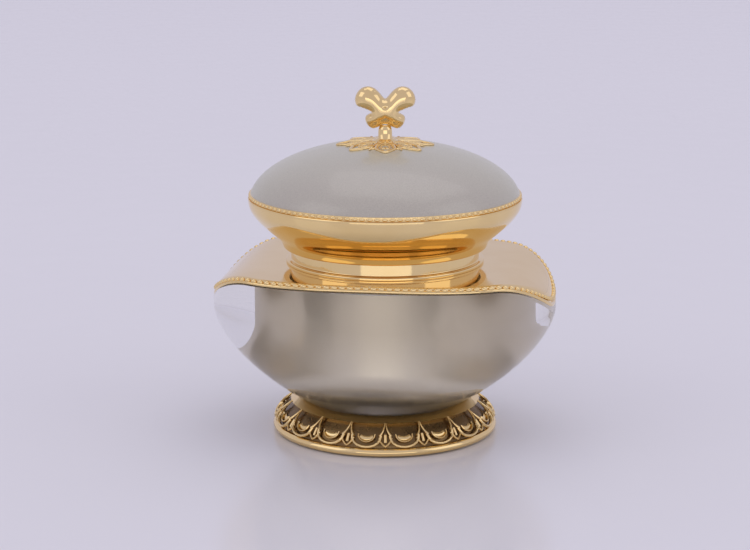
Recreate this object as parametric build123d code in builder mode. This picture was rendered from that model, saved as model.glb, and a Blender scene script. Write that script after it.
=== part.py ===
"""Cosmetic cream jar with a screw lid: clear oval bowl on a gold foot, butterfly knob on a pearl dome.

The origin is the centre of the underside, +Z is up, and the bowl's two tips point along X.
Lengths are in millimetres and angles in degrees.
"""

from build123d import *
from math import cos, radians, sin
import os

# Bowl: the clear body, round at its foot and a long blunt oval at its top
bowl_half_length = 39.7
bowl_half_width = 29.0
bowl_cut = 0.7734  # how far down its side curve the bowl ends at its foot
length_power = 1.53  # fullness of the bowl's side seen from the front
width_power = 2.1  # fullness seen from an end
end_power = 3.3  # plan exponent along the bowl at its top: more gives blunter ends than an ellipse's 2
side_power = 2.2  # plan exponent across the bowl at its top
bowl_floor = 5.0  # clear material under the cup
section_shares = (0.0, 0.15, 0.3, 0.47, 0.66, 0.85, 1.0)  # of the height from foot to tips
plan_steps = 24  # points round each plan outline
cut_margin = 5.0  # how far a cutting body reaches past what it cuts

# Shoulder: the gold plate that closes the bowl
shoulder_top = 40.0
shoulder_thickness = 1.0
shoulder_flat = 27.6  # the shoulder is flat this far from the middle, then curves down
tip_droop = 7.6  # how far the shoulder falls from its flat middle to each end
tip_depth = 10.5  # the bowl's side reaches its full length this far below the shoulder's top
rim_width = 1.1  # the beaded edge round the plate

# Container, cup and neck
mouth_radius = 18.0
neck_wall = 2.0
neck_height = 11.6  # above the shoulder
container_wall = 1.4
container_corner = 3.0
container_draft = 0.7  # how much narrower the container is at its floor
cup_gap = 4.6  # air between the container and the cup
cup_wall = 0.8
cup_corner = 7.0
flange_overlap = 1.1  # how far the container's flange reaches over the cup's rim
flange_thickness = 0.8
gasket_thickness = 0.4
gasket_width = 1.0
collar_gap = 0.1
collar_wall = 1.7
collar_height = 4.4
collar_foot_width = 1.1
collar_foot_height = 0.8
collar_round = 0.3

# Screw thread
thread_lead = 6.0
thread_starts = 2
thread_depth = 0.8
thread_root_width = 1.3
thread_crest_width = 0.7
thread_root_sink = 0.3
thread_gap = 0.25  # radial clearance of a crest from the wall that it faces
thread_rise = 1.4  # from the collar's top to the middle of the lowest ridge

# Sealing disc in the mouth
disc_ledge = 0.8  # width of the seat
disc_thickness = 0.8
disc_depth = 3.0  # from the mouth down to its seat
disc_play = 0.2  # radial clearance in the mouth
tab_radius = 3.4
tab_width = 1.0
tab_height = 0.8

# Lid
lid_radius = 31.6
lid_overlap = 0.7  # how far the lid's lip hangs below the collar's top
lip_gap = 0.35
lip_wall = 1.45
lip_height = 1.1
liner_thickness = 1.5
liner_gap = 0.05
liner_play = 0.15
cap_wall = 1.65
cap_top = 1.4
cap_flange_gap = 0.2
skirt_rise = 1.9  # from the cap's ceiling to the skirt's top edge
skirt_wall = 1.5
skirt_knots = ((0.44, 0.37), (0.94, 0.77))  # points of the skirt's side: shares of its flare and height
skirt_hollow = (0.31, 0.7)  # the skirt's conical inside runs between these shares of its height
bead_ring_height = 1.0
bead_ring_width = 1.7
bead_ring_round = 0.4
spigot_wall = 1.6
spigot_height = 1.5
dome_inset = 0.3
dome_sink = 1.1  # the dome's centre lies this far below the skirt's top edge
dome_rise = 13.7
dome_wall = 1.8
weight_hole = 12.0
weight_inset = 4.6
weight_height = 3.0

# Knob and rosette
knob_clock = 8.0  # the closed lid's angle about Z
knob_height = 10.1
knob_clear = 1.7  # between the rosette and the lower wings
wing_radius = 3.4
wing_reach = 3.55
wing_notch = 0.6  # the notch between the wings ends this far above their centres
wing_drop = 2.0  # the body meets the wings this far below their centres
tail_radius = 2.1
tail_reach = 2.45
tail_drop = 1.0  # the body's foot lies this far below the lower wings' centres
knob_thickness = 4.6
knob_round = 0.35
stem_radius = 1.6
screw_radius = 1.0
screw_length = 9.6
screw_head_radius = 2.4
screw_head_height = 1.8
screw_slot = 0.6
screw_slot_length = 2.9
screw_clearance = 0.15
washer_radius = 3.6
washer_thickness = 0.6
boss_radius = 4.4
boss_depth = 0.7
rosette_radius = 11.6
rosette_thickness = 0.9
rosette_hub = 2.6
petals = 8
petal_width = 5.2
petal_band = 1.1

# Base
base_height = 7.75
base_flare = 7.22  # how far the base reaches beyond the bowl's foot
base_bottom = 0.3  # the gold shell stays this far off the table
base_wall = 1.6
base_rim_height = 1.8
base_rim_round = 0.85  # height of the rim's widest line above its underside
base_rim_step = 0.9  # how far the rim's ends lie inside its widest line
foot_land = 0.3  # height of the plain ring that the bowl stands on
lace_step = 0.5  # from the rim's widest line in to the lace's lower edge
lace_lift = 0.3  # from the rim's top up to the lace's lower edge
lace_knots = ((0.8, 0.56), (0.42, 0.9))  # middle and top of the lace: shares of base flare and height
lace_taper = (0.8, 0.6)  # the lace's back comes in and down by these shares of its inset at the top
lace_thickness = 0.7
lace_loops = 18
loop_radius = 2.5
loop_tilt = 35.0
loop_place = (0.65, 0.7)  # centre of a loop: shares of base flare and height
loop_cut = 3.0  # half-depth of the cut that opens a loop
spigot_inset = 4.0
plate_inset = 2.2
plate_thickness = 1.4
plate_set_in = 0.2
pad_inset = 2.0
pad_width = 7.0
pad_thickness = 0.8


def bowl_reach(half_size, share, power):
    """Half-length or half-width of the bowl at a share of its height from foot to tips."""
    depth = bowl_cut * (1 - share)
    return half_size * (1 - depth**power) ** (1 / power)


# Bowl and shoulder, worked out from the sizes above
tip_height = shoulder_top - tip_depth
foot_radius = bowl_reach(bowl_half_length, 0, length_power)
shoulder_under = shoulder_top - shoulder_thickness
neck_radius = mouth_radius + neck_wall
droop_radius = ((bowl_half_length - shoulder_flat) ** 2 + tip_droop**2) / (2 * tip_droop)

# Container, cup, neck and thread
container_radius = mouth_radius + container_wall
cup_radius = container_radius + cup_gap + cup_wall
flange_radius = cup_radius + flange_overlap
flange_under = shoulder_under - gasket_thickness - flange_thickness
cup_under = base_height + bowl_floor
container_under = cup_under + cup_wall
neck_top = shoulder_top + neck_height
collar_bore = neck_radius + collar_gap
collar_radius = collar_bore + collar_wall
collar_top = shoulder_top + collar_height
thread_bottom = collar_top + thread_rise
disc_seat = neck_top - disc_depth
disc_bore = mouth_radius + disc_ledge

# Lid
lid_bottom = collar_top - lid_overlap
lip_radius = collar_radius + lip_gap
liner_under = neck_top + liner_gap
half_pitch = thread_lead / thread_starts / 2
thread_height = neck_top - thread_bottom - half_pitch - thread_root_width / 2 - liner_gap
cap_bore = neck_radius + thread_depth + thread_gap
cap_radius = cap_bore + cap_wall
cap_under = lid_bottom + lip_height
cap_ceiling = liner_under + liner_thickness + liner_gap
cap_plate_top = cap_ceiling + cap_top
lid_top_edge = cap_ceiling + skirt_rise
ledge = lid_top_edge - spigot_height
dome_edge = lid_top_edge + bead_ring_height
spigot_outer = lid_radius - bead_ring_width
spigot_inner = spigot_outer - spigot_wall
cap_flange_radius = spigot_inner - cap_flange_gap
dome_radius = lid_radius - dome_inset
dome_centre = lid_top_edge - dome_sink
dome_apex = dome_centre + dome_rise

# Knob
hub_top = dome_apex + rosette_thickness
knob_top = hub_top + knob_clear + knob_height
boss_under = dome_apex - dome_wall - boss_depth
screw_seat = boss_under - washer_thickness
screw_tip = screw_seat + screw_length

# Base
base_radius = foot_radius + base_flare
base_ceiling = base_height - base_wall
spigot_radius = foot_radius - spigot_inset
plate_radius = base_radius - plate_inset
plate_under = base_bottom + plate_set_in
plate_top = plate_under + plate_thickness
pad_outer = plate_radius - pad_inset


def signed_power(value, power):
    """The power of a value's size, with the value's sign kept."""
    size = abs(value) ** power
    return size if value >= 0 else -size


def plan_points(half_length, half_width, squareness):
    """A closed plan outline, from an ellipse at squareness 0 to the bowl's top outline at 1."""
    along_power = 2 + squareness * (end_power - 2)
    across_power = 2 + squareness * (side_power - 2)
    points = []
    for step in range(plan_steps):
        angle = radians(360 * step / plan_steps)
        along = half_length * signed_power(cos(angle), 2 / along_power)
        across = half_width * signed_power(sin(angle), 2 / across_power)
        points.append((along, across))
    return points


def outline(half_length, half_width, squareness):
    """Draws a plan outline as one smooth closed edge in the line block that calls it."""
    return Spline(*plan_points(half_length, half_width, squareness), periodic=True)


def under_shoulder(depth):
    """Everything below the drooping shoulder surface, or below one parallel to it at this depth."""
    flat = shoulder_top - depth
    radius = droop_radius - depth
    centre = shoulder_top - droop_radius
    side = shoulder_flat + radius
    bottom = min(centre, 0) - cut_margin
    with BuildPart(mode=Mode.PRIVATE) as under:
        with BuildSketch(Plane.XZ):
            with BuildLine():
                Line((-shoulder_flat, flat), (shoulder_flat, flat))
                CenterArc((shoulder_flat, centre), radius, 90, -90)
                Polyline((side, centre), (side, bottom), (-side, bottom), (-side, centre))
                CenterArc((-shoulder_flat, centre), radius, 180, -90)
            make_face()
        extrude(amount=bowl_half_width + cut_margin, both=True)
    return under.part


def band_of_shoulder(outer_inset, inner_inset):
    """A layer as thick as the shoulder plate, between two plan outlines; no inner one leaves it whole."""
    with BuildPart(mode=Mode.PRIVATE) as band:
        with BuildSketch():
            with BuildLine():
                outline(bowl_half_length - outer_inset, bowl_half_width - outer_inset, 1)
            make_face()
            if inner_inset is not None:
                with BuildSketch(mode=Mode.SUBTRACT):
                    with BuildLine():
                        outline(bowl_half_length - inner_inset, bowl_half_width - inner_inset, 1)
                    make_face()
        extrude(amount=shoulder_top + cut_margin)
        add(under_shoulder(0), mode=Mode.INTERSECT)
        add(under_shoulder(shoulder_thickness), mode=Mode.SUBTRACT)
    return band.part


def thread_ridges(wall_radius, crest_radius, first_angle, first_height):
    """One helical ridge per start, rooted a little way into the wall at wall_radius."""
    outward = 1 if crest_radius > wall_radius else -1
    root_radius = wall_radius - thread_root_sink * outward
    with BuildPart(mode=Mode.PRIVATE) as ridge:
        with BuildLine():
            path = Helix(thread_lead, thread_height, root_radius)
        start = Plane(origin=path @ 0, x_dir=(outward, 0, 0), z_dir=path % 0)
        with BuildSketch(start):
            with BuildLine():
                Polyline(
                    (0, -thread_root_width / 2),
                    (abs(crest_radius - root_radius), -thread_crest_width / 2),
                    (abs(crest_radius - root_radius), thread_crest_width / 2),
                    (0, thread_root_width / 2),
                    close=True,
                )
            make_face()
        sweep(path=path, is_frenet=True)
    ridges = []
    for start_number in range(thread_starts):
        turned = ridge.part.rotate(Axis.Z, first_angle + 360 * start_number / thread_starts)
        ridges.append(turned.translate((0, 0, first_height)))
    return ridges


def lace_face(inset):
    """The lace band's curved face in profile, or one inside it."""
    (middle_out, middle_up), (top_out, top_up) = lace_knots
    inward, downward = lace_taper
    return ThreePointArc(
        (base_radius - lace_step - inset, base_rim_height + lace_lift),
        (foot_radius + middle_out * base_flare - inset, middle_up * base_height),
        (
            foot_radius + top_out * base_flare - inward * inset,
            top_up * base_height - downward * inset,
        ),
    )


# ---------------------------------------------------------------- base

with BuildPart() as base_shell:
    with BuildSketch(Plane.XZ):
        with BuildLine():
            foot = Line((plate_radius, base_bottom), (base_radius - base_rim_step, base_bottom))
            rim = ThreePointArc(
                foot @ 1,
                (base_radius, base_bottom + base_rim_round),
                (base_radius - base_rim_step, base_rim_height),
            )
            recess = lace_face(lace_thickness)
            Line(rim @ 1, recess @ 0)
            Line(recess @ 1, (foot_radius, base_height - foot_land))
            Polyline(
                (foot_radius, base_height - foot_land),
                (foot_radius, base_height),
                (spigot_radius, base_height),
                (spigot_radius, base_ceiling),
                (foot_radius, base_ceiling),
                (foot_radius + base_wall, plate_top + base_wall),
                (foot_radius + base_wall, plate_top),
                (plate_radius, plate_top),
                (plate_radius, base_bottom),
            )
        make_face()
    revolve(axis=Axis.Z)
base_shell.part.label = "base_shell"

with BuildPart() as loop_cutter:
    tilt = radians(loop_tilt)
    with BuildSketch(
        Plane(
            origin=(foot_radius + loop_place[0] * base_flare, 0, loop_place[1] * base_height),
            x_dir=(0, 1, 0),
            z_dir=(cos(tilt), 0, sin(tilt)),
        )
    ):
        Circle(loop_radius)
        Rectangle(2 * loop_radius, loop_radius, align=(Align.CENTER, Align.MIN), mode=Mode.SUBTRACT)
    extrude(amount=loop_cut, both=True)

with BuildPart() as base_lace:
    with BuildSketch(Plane.XZ):
        with BuildLine():
            outer_face = lace_face(0)
            inner_face = lace_face(lace_thickness)
            Line(outer_face @ 0, inner_face @ 0)
            Line(outer_face @ 1, inner_face @ 1)
        make_face()
    revolve(axis=Axis.Z)
    first_loop = knob_clock - 90 + 180 / lace_loops
    for loop in range(lace_loops):
        add(loop_cutter.part.rotate(Axis.Z, first_loop + 360 * loop / lace_loops), mode=Mode.SUBTRACT)
base_lace.part.label = "base_lace"

with BuildPart() as base_weight:
    with BuildSketch(Plane.XY.offset(plate_top)):
        Circle(foot_radius)
    extrude(amount=base_ceiling - plate_top)
base_weight.part.label = "base_weight"

with BuildPart() as base_plate:
    with BuildSketch(Plane.XY.offset(plate_under)):
        Circle(plate_radius)
    extrude(amount=plate_thickness)
    with BuildSketch(Plane.XY.offset(plate_under)):
        Circle(pad_outer)
        Circle(pad_outer - pad_width, mode=Mode.SUBTRACT)
    extrude(amount=pad_thickness - plate_under, mode=Mode.SUBTRACT)
base_plate.part.label = "base_plate"

with BuildPart() as foot_pad:
    with BuildSketch():
        Circle(pad_outer)
        Circle(pad_outer - pad_width, mode=Mode.SUBTRACT)
    extrude(amount=pad_thickness)
foot_pad.part.label = "foot_pad"

# ---------------------------------------------------------------- bowl, cup and container


def rounded_cup(radius, bottom, top, corner):
    """A solid round plug with a rounded bottom edge."""
    with BuildPart(mode=Mode.PRIVATE) as plug:
        with BuildSketch(Plane.XY.offset(bottom)):
            Circle(radius)
        extrude(amount=top - bottom)
        fillet(plug.edges().group_by(Axis.Z)[0], radius=corner)
    return plug.part


with BuildPart() as outer_bowl:
    for share in section_shares:
        with BuildSketch(Plane.XY.offset(base_height + share * (tip_height - base_height))):
            with BuildLine():
                outline(
                    bowl_reach(bowl_half_length, share, length_power),
                    bowl_reach(bowl_half_width, share, width_power),
                    share,
                )
            make_face()
    loft()
    with BuildSketch(Plane.XY.offset(tip_height)):
        with BuildLine():
            outline(bowl_half_length, bowl_half_width, 1)
        make_face()
    extrude(amount=shoulder_top - tip_height)
    add(under_shoulder(shoulder_thickness), mode=Mode.INTERSECT)
    with BuildSketch(Plane.XY.offset(base_ceiling)):
        Circle(spigot_radius)
    extrude(amount=base_wall)
    add(rounded_cup(cup_radius, cup_under, shoulder_top, cup_corner), mode=Mode.SUBTRACT)
    with BuildSketch(Plane.XY.offset(flange_under)):
        Circle(flange_radius)
    extrude(amount=shoulder_thickness, mode=Mode.SUBTRACT)
outer_bowl.part.label = "outer_bowl"

with BuildPart() as champagne_cup:
    add(rounded_cup(cup_radius, cup_under, flange_under, cup_corner))
    add(
        rounded_cup(cup_radius - cup_wall, container_under, shoulder_top, cup_corner - cup_wall),
        mode=Mode.SUBTRACT,
    )
champagne_cup.part.label = "champagne_cup"

with BuildPart() as inner_cup:
    with BuildSketch(Plane.XZ):
        with BuildLine():
            Polyline(
                (0, container_under),
                (container_radius - container_draft, container_under),
                (container_radius, flange_under),
                (flange_radius, flange_under),
                (flange_radius, flange_under + flange_thickness),
                (neck_radius, flange_under + flange_thickness),
                (neck_radius, neck_top),
                (disc_bore, neck_top),
                (disc_bore, disc_seat),
                (mouth_radius, disc_seat),
                (mouth_radius, flange_under),
                (mouth_radius - container_draft, container_under + container_wall),
                (0, container_under + container_wall),
                close=True,
            )
        make_face()
    revolve(axis=Axis.Z)
    bottom_edges = inner_cup.edges().filter_by(GeomType.CIRCLE).group_by(Axis.Z)
    fillet(bottom_edges[0], radius=container_corner)
    floor_edges = inner_cup.edges().filter_by(GeomType.CIRCLE).filter_by_position(
        Axis.Z, container_under + container_wall - 0.01, container_under + container_wall + 0.01
    )
    fillet(floor_edges, radius=container_corner - container_wall / 2)
    for ridge in thread_ridges(neck_radius, neck_radius + thread_depth, 0, thread_bottom):
        add(ridge)
inner_cup.part.label = "inner_cup"

with BuildPart() as flange_gasket:
    with BuildSketch(Plane.XY.offset(flange_under + flange_thickness)):
        Circle(neck_radius + gasket_width)
        Circle(neck_radius, mode=Mode.SUBTRACT)
    extrude(amount=gasket_thickness)
flange_gasket.part.label = "flange_gasket"

# ---------------------------------------------------------------- shoulder and neck

with BuildPart() as shoulder_plate:
    add(band_of_shoulder(rim_width, None))
    with BuildSketch():
        Circle(collar_bore)
    extrude(amount=shoulder_top + cut_margin, mode=Mode.SUBTRACT)
shoulder_plate.part.label = "shoulder_plate"

with BuildPart() as shoulder_beads:
    add(band_of_shoulder(0, rim_width))
shoulder_beads.part.label = "shoulder_beads"

with BuildPart() as neck_collar:
    with BuildSketch(Plane.XZ):
        with BuildLine():
            Polyline(
                (collar_bore, shoulder_top),
                (collar_radius + collar_foot_width, shoulder_top),
                (collar_radius + collar_foot_width, shoulder_top + collar_foot_height),
                (collar_radius, shoulder_top + collar_foot_height),
                (collar_radius, collar_top),
                (collar_bore, collar_top),
                close=True,
            )
        make_face()
    revolve(axis=Axis.Z)
    rings = neck_collar.edges().filter_by(GeomType.CIRCLE)
    fillet(rings.filter_by(lambda ring: ring.radius > collar_bore + collar_gap), radius=collar_round)
neck_collar.part.label = "neck_collar"

with BuildPart() as sealing_disc:
    with BuildSketch(Plane.XY.offset(disc_seat)):
        Circle(disc_bore - disc_play)
    extrude(amount=disc_thickness)
    with BuildSketch(Plane.XY.offset(disc_seat + disc_thickness)):
        Circle(tab_radius)
        Circle(tab_radius - tab_width, mode=Mode.SUBTRACT)
    extrude(amount=tab_height)
sealing_disc.part.label = "sealing_disc"

# ---------------------------------------------------------------- lid

with BuildPart() as lid_liner:
    with BuildSketch(Plane.XY.offset(liner_under)):
        Circle(cap_bore - liner_play)
    extrude(amount=liner_thickness)
lid_liner.part.label = "lid_liner"

with BuildPart() as inner_cap:
    with BuildSketch(Plane.XZ):
        with BuildLine():
            Polyline(
                (cap_bore, cap_under),
                (cap_radius, cap_under),
                (cap_radius, cap_ceiling),
                (cap_flange_radius, cap_ceiling),
                (cap_flange_radius, cap_plate_top),
                (0, cap_plate_top),
                (0, cap_ceiling),
                (cap_bore, cap_ceiling),
                close=True,
            )
        make_face()
    revolve(axis=Axis.Z)
    for ridge in thread_ridges(cap_bore, neck_radius + thread_gap, 0, thread_bottom + half_pitch):
        add(ridge)
inner_cap.part.label = "inner_cap"

with BuildPart() as lid_skirt:
    skirt_height = lid_top_edge - lid_bottom
    skirt_foot = lip_radius + lip_wall
    flare = lid_radius - skirt_foot
    hollow_foot, hollow_top = [lid_bottom + share * skirt_height for share in skirt_hollow]
    with BuildSketch(Plane.XZ):
        with BuildLine():
            side = Spline(
                (skirt_foot, lid_bottom),
                *[
                    (skirt_foot + out * flare, lid_bottom + up * skirt_height)
                    for out, up in skirt_knots
                ],
                (lid_radius, lid_top_edge),
            )
            Polyline(
                (lid_radius, lid_top_edge),
                (spigot_outer, lid_top_edge),
                (spigot_outer, ledge),
                (cap_flange_radius + 2 * cap_flange_gap, ledge),
                (cap_flange_radius + 2 * cap_flange_gap, hollow_top),
                (cap_radius + skirt_wall, hollow_foot),
                (cap_radius, hollow_foot),
                (cap_radius, cap_under),
                (lip_radius, cap_under),
                (lip_radius, lid_bottom),
                (skirt_foot, lid_bottom),
            )
        make_face()
    revolve(axis=Axis.Z)
lid_skirt.part.label = "lid_skirt"

with BuildPart() as lid_bead_ring:
    with BuildSketch(Plane.XZ):
        with BuildLine():
            Polyline(
                (lid_radius - bead_ring_round, lid_top_edge),
                (spigot_outer, lid_top_edge),
                (spigot_outer, dome_edge),
                (lid_radius - bead_ring_round, dome_edge),
            )
            ThreePointArc(
                (lid_radius - bead_ring_round, lid_top_edge),
                (lid_radius, lid_top_edge + bead_ring_height / 2),
                (lid_radius - bead_ring_round, dome_edge),
            )
        make_face()
    revolve(axis=Axis.Z)
lid_bead_ring.part.label = "lid_bead_ring"

with BuildPart() as lid_dome:
    with BuildSketch(Plane.XZ):
        with Locations((0, dome_centre)):
            Ellipse(dome_radius, dome_rise)
            Ellipse(spigot_inner, dome_rise - dome_wall, mode=Mode.SUBTRACT)
        with Locations((0, dome_edge)):
            Rectangle(lid_radius, 2 * dome_rise, align=(Align.MIN, Align.MIN), mode=Mode.INTERSECT)
        with Locations((spigot_inner, ledge)):
            Rectangle(spigot_wall, dome_edge - ledge, align=(Align.MIN, Align.MIN))
        with Locations((0, boss_under)):
            Rectangle(boss_radius, boss_depth + dome_wall / 2, align=(Align.MIN, Align.MIN))
            Rectangle(
                screw_radius + screw_clearance,
                dome_rise,
                align=(Align.MIN, Align.MIN),
                mode=Mode.SUBTRACT,
            )
    revolve(axis=Axis.Z)
lid_dome.part.label = "lid_dome"

with BuildPart() as lid_weight:
    with BuildSketch(Plane.XY.offset(cap_plate_top)):
        Circle(cap_flange_radius - weight_inset)
        Circle(weight_hole, mode=Mode.SUBTRACT)
    extrude(amount=weight_height)
lid_weight.part.label = "lid_weight"

# ---------------------------------------------------------------- knob


def dome_body(raised):
    """The dome's outer form as a solid, raised by an amount."""
    with BuildPart(mode=Mode.PRIVATE) as form:
        with BuildSketch(Plane.XZ):
            with Locations((0, dome_centre + raised)):
                Ellipse(dome_radius, dome_rise)
                Rectangle(
                    dome_radius, 2 * dome_rise, align=(Align.MIN, Align.CENTER), mode=Mode.INTERSECT
                )
        revolve(axis=Axis.Z)
    return form.part


with BuildPart() as rosette:
    with BuildSketch(Plane.XY.offset(dome_centre)):
        petal_centre = (rosette_radius + rosette_hub) / 2
        petal_half = (rosette_radius - rosette_hub) / 2
        with PolarLocations(petal_centre, petals, start_angle=knob_clock - 90):
            Ellipse(petal_half, petal_width / 2)
            Ellipse(petal_half - petal_band, petal_width / 2 - petal_band, mode=Mode.SUBTRACT)
        Circle(rosette_hub + petal_band)
        Circle(screw_radius + screw_clearance, mode=Mode.SUBTRACT)
    extrude(amount=2 * dome_rise)
    add(dome_body(rosette_thickness), mode=Mode.INTERSECT)
    add(dome_body(0), mode=Mode.SUBTRACT)
rosette.part.label = "rosette"

knob_turn = radians(knob_clock)
knob_plane = Plane(
    origin=(0, 0, 0),
    x_dir=(cos(knob_turn), sin(knob_turn), 0),
    z_dir=(sin(knob_turn), -cos(knob_turn), 0),
)

with BuildPart() as butterfly_knob:
    wing_height = knob_top - wing_radius
    tail_height = knob_top - knob_height + tail_radius
    with BuildSketch(knob_plane):
        with Locations((-wing_reach, wing_height), (wing_reach, wing_height)):
            Circle(wing_radius)
        with Locations((-tail_reach, tail_height), (tail_reach, tail_height)):
            Circle(tail_radius)
        Polygon(
            (0, wing_height + wing_notch),
            (wing_reach, wing_height - wing_drop),
            (tail_reach, tail_height - tail_drop),
            (-tail_reach, tail_height - tail_drop),
            (-wing_reach, wing_height - wing_drop),
            align=None,
        )
    extrude(amount=knob_thickness / 2, both=True)
    faces = butterfly_knob.faces().filter_by(lambda face: abs(face.normal_at().Z) < 0.01)
    flats = faces.filter_by(lambda face: abs(face.normal_at().dot(knob_plane.z_dir)) > 0.99)
    fillet(flats.edges(), radius=knob_round)
    with BuildSketch(Plane.XY.offset(hub_top)):
        Circle(stem_radius)
    extrude(amount=tail_height - hub_top)
    with BuildSketch(Plane.XY.offset(hub_top)):
        Circle(screw_radius)
    extrude(amount=screw_tip - hub_top, mode=Mode.SUBTRACT)
butterfly_knob.part.label = "butterfly_knob"

with BuildPart() as knob_washer:
    with BuildSketch(Plane.XY.offset(screw_seat)):
        Circle(washer_radius)
        Circle(screw_radius + screw_clearance, mode=Mode.SUBTRACT)
    extrude(amount=washer_thickness)
knob_washer.part.label = "knob_washer"

with BuildPart() as knob_screw:
    with BuildSketch(Plane.XY.offset(screw_seat - screw_head_height)):
        Circle(screw_head_radius)
    extrude(amount=screw_head_height)
    with BuildSketch(Plane.XY.offset(screw_seat)):
        Circle(screw_radius)
    extrude(amount=screw_length)
    with BuildSketch(Plane.XY.offset(screw_seat - screw_head_height)):
        Rectangle(screw_slot_length, screw_slot)
        Rectangle(screw_slot, screw_slot_length)
    extrude(amount=screw_head_height / 2, mode=Mode.SUBTRACT)
knob_screw.part.label = "knob_screw"

# ---------------------------------------------------------------- files

pieces = [
    base_shell,
    base_lace,
    base_weight,
    base_plate,
    foot_pad,
    outer_bowl,
    champagne_cup,
    inner_cup,
    flange_gasket,
    shoulder_plate,
    shoulder_beads,
    neck_collar,
    sealing_disc,
    lid_liner,
    inner_cap,
    lid_skirt,
    lid_bead_ring,
    lid_dome,
    lid_weight,
    rosette,
    butterfly_knob,
    knob_washer,
    knob_screw,
]
os.makedirs("parts", exist_ok=True)
for piece in pieces:
    export_step(piece.part, f"parts/{piece.part.label}.step")
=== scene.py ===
"""Looks of the cosmetic cream jar: gold, clear acrylic, champagne and pearl, built round the CAD frame."""

from math import atan2, cos, exp, hypot, pi, radians, sin, sqrt, tau

import bmesh
import bpy
import numpy as np
from mathutils import Matrix, Vector
from mathutils.geometry import delaunay_2d_cdt


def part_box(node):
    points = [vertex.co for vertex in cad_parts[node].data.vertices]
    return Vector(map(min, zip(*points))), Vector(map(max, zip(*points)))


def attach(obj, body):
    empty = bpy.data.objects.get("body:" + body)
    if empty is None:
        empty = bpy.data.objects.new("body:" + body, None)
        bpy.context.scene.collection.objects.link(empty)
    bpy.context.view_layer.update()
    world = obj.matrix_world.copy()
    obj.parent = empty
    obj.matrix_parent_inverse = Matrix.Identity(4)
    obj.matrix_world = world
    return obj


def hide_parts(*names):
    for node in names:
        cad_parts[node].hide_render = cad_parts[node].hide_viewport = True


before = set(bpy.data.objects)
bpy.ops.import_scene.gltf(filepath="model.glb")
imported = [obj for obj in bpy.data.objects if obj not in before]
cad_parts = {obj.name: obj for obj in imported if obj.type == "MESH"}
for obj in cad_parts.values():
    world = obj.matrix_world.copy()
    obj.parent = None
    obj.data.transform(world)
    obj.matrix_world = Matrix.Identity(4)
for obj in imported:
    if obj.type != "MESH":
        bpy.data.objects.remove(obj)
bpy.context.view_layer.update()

MM = 0.001


def low(node):
    """A node's lowest corner, in millimetres."""
    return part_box(node)[0] / MM


def high(node):
    """A node's highest corner, in millimetres."""
    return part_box(node)[1] / MM


# Places read from the frame, in millimetres
BOWL_LENGTH = high("outer_bowl").x
BOWL_WIDTH = high("outer_bowl").y
FOOT_Z = high("base_shell").z
CUP_RADIUS = high("champagne_cup").x
CUP_UNDER = low("champagne_cup").z
CUP_TOP = high("champagne_cup").z
FLANGE_RADIUS = high("inner_cup").x
SHOULDER_TOP = high("shoulder_plate").z
COLLAR_RADIUS = high("neck_collar").x
COLLAR_TOP = high("neck_collar").z
LID_BOTTOM = low("lid_skirt").z
LID_EDGE = high("lid_skirt").z
LID_RADIUS = high("lid_bead_ring").x
DOME_EDGE = high("lid_bead_ring").z
DOME_TOP = high("lid_dome").z
BASE_RADIUS = high("base_shell").x
BASE_LOW = low("base_shell").z
KNOB_TOP = high("butterfly_knob").z

# Sizes that the frame's boxes don't give, as in the CAD model, in millimetres
SHOULDER_THICKNESS = 1.0
SHOULDER_FLAT = 27.6
TIP_DROOP = 7.6
TIP_Z = SHOULDER_TOP - 10.5
END_POWER = 3.3
SIDE_POWER = 2.2
LENGTH_POWER = 1.53
WIDTH_POWER = 2.1
BOWL_CUT = 0.7734
RIM_WIDTH = 1.1
COLLAR_BORE = 20.1
COLLAR_FOOT_WIDTH = 1.1
COLLAR_FOOT_HEIGHT = 0.8
CUP_WALL = 0.8
CUP_CORNER = 7.0
FOOT_RADIUS = 19.05
BASE_WALL = 1.6
SPIGOT_RADIUS = 15.0
LACE_THICKNESS = 0.7
FLARE = BASE_RADIUS - FOOT_RADIUS
DOME_RADIUS = LID_RADIUS - 0.3
DOME_SINK = 1.1
DOME_WALL = 1.8
BOSS_RADIUS = 4.4
SCREW_HOLE = 1.2
SPIGOT_OUTER = LID_RADIUS - 1.7
SPIGOT_INNER = LID_RADIUS - 3.3
SPIGOT_UNDER = LID_EDGE - 1.5
LIP_RADIUS = 22.15
LIP_HEIGHT = 1.1
SKIRT_FOOT = 23.6
CAP_RADIUS = 22.7
SKIRT_WALL = 1.5
DOME_RISE = DOME_TOP - (LID_EDGE - DOME_SINK)
KNOB_CLOCK = radians(8.0)
SKIN = 0.03  # how far opaque pieces reach into the clear bowl, so that no air film shows


# ---------------------------------------------------------------- materials


def new_material(name):
    material = bpy.data.materials.new(name)
    material.use_nodes = True
    tree = material.node_tree
    return material, tree, tree.nodes["Principled BSDF"]


def object_noise(tree, scale, detail=2.0, stretch=(1, 1, 1)):
    """A noise in the piece's own coordinates, at a number of cells per metre."""
    place = tree.nodes.new("ShaderNodeTexCoord")
    mapping = tree.nodes.new("ShaderNodeMapping")
    mapping.inputs["Scale"].default_value = stretch
    noise = tree.nodes.new("ShaderNodeTexNoise")
    noise.inputs["Scale"].default_value = scale
    noise.inputs["Detail"].default_value = detail
    tree.links.new(place.outputs["Object"], mapping.inputs["Vector"])
    tree.links.new(mapping.outputs["Vector"], noise.inputs["Vector"])
    return noise.outputs["Fac"]


def spread(tree, source, low_value, high_value, start=0.3, end=0.7):
    """Maps a noise to a range of values."""
    node = tree.nodes.new("ShaderNodeMapRange")
    node.inputs["From Min"].default_value = start
    node.inputs["From Max"].default_value = end
    node.inputs["To Min"].default_value = low_value
    node.inputs["To Max"].default_value = high_value
    tree.links.new(source, node.inputs["Value"])
    return node.outputs["Result"]


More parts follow.
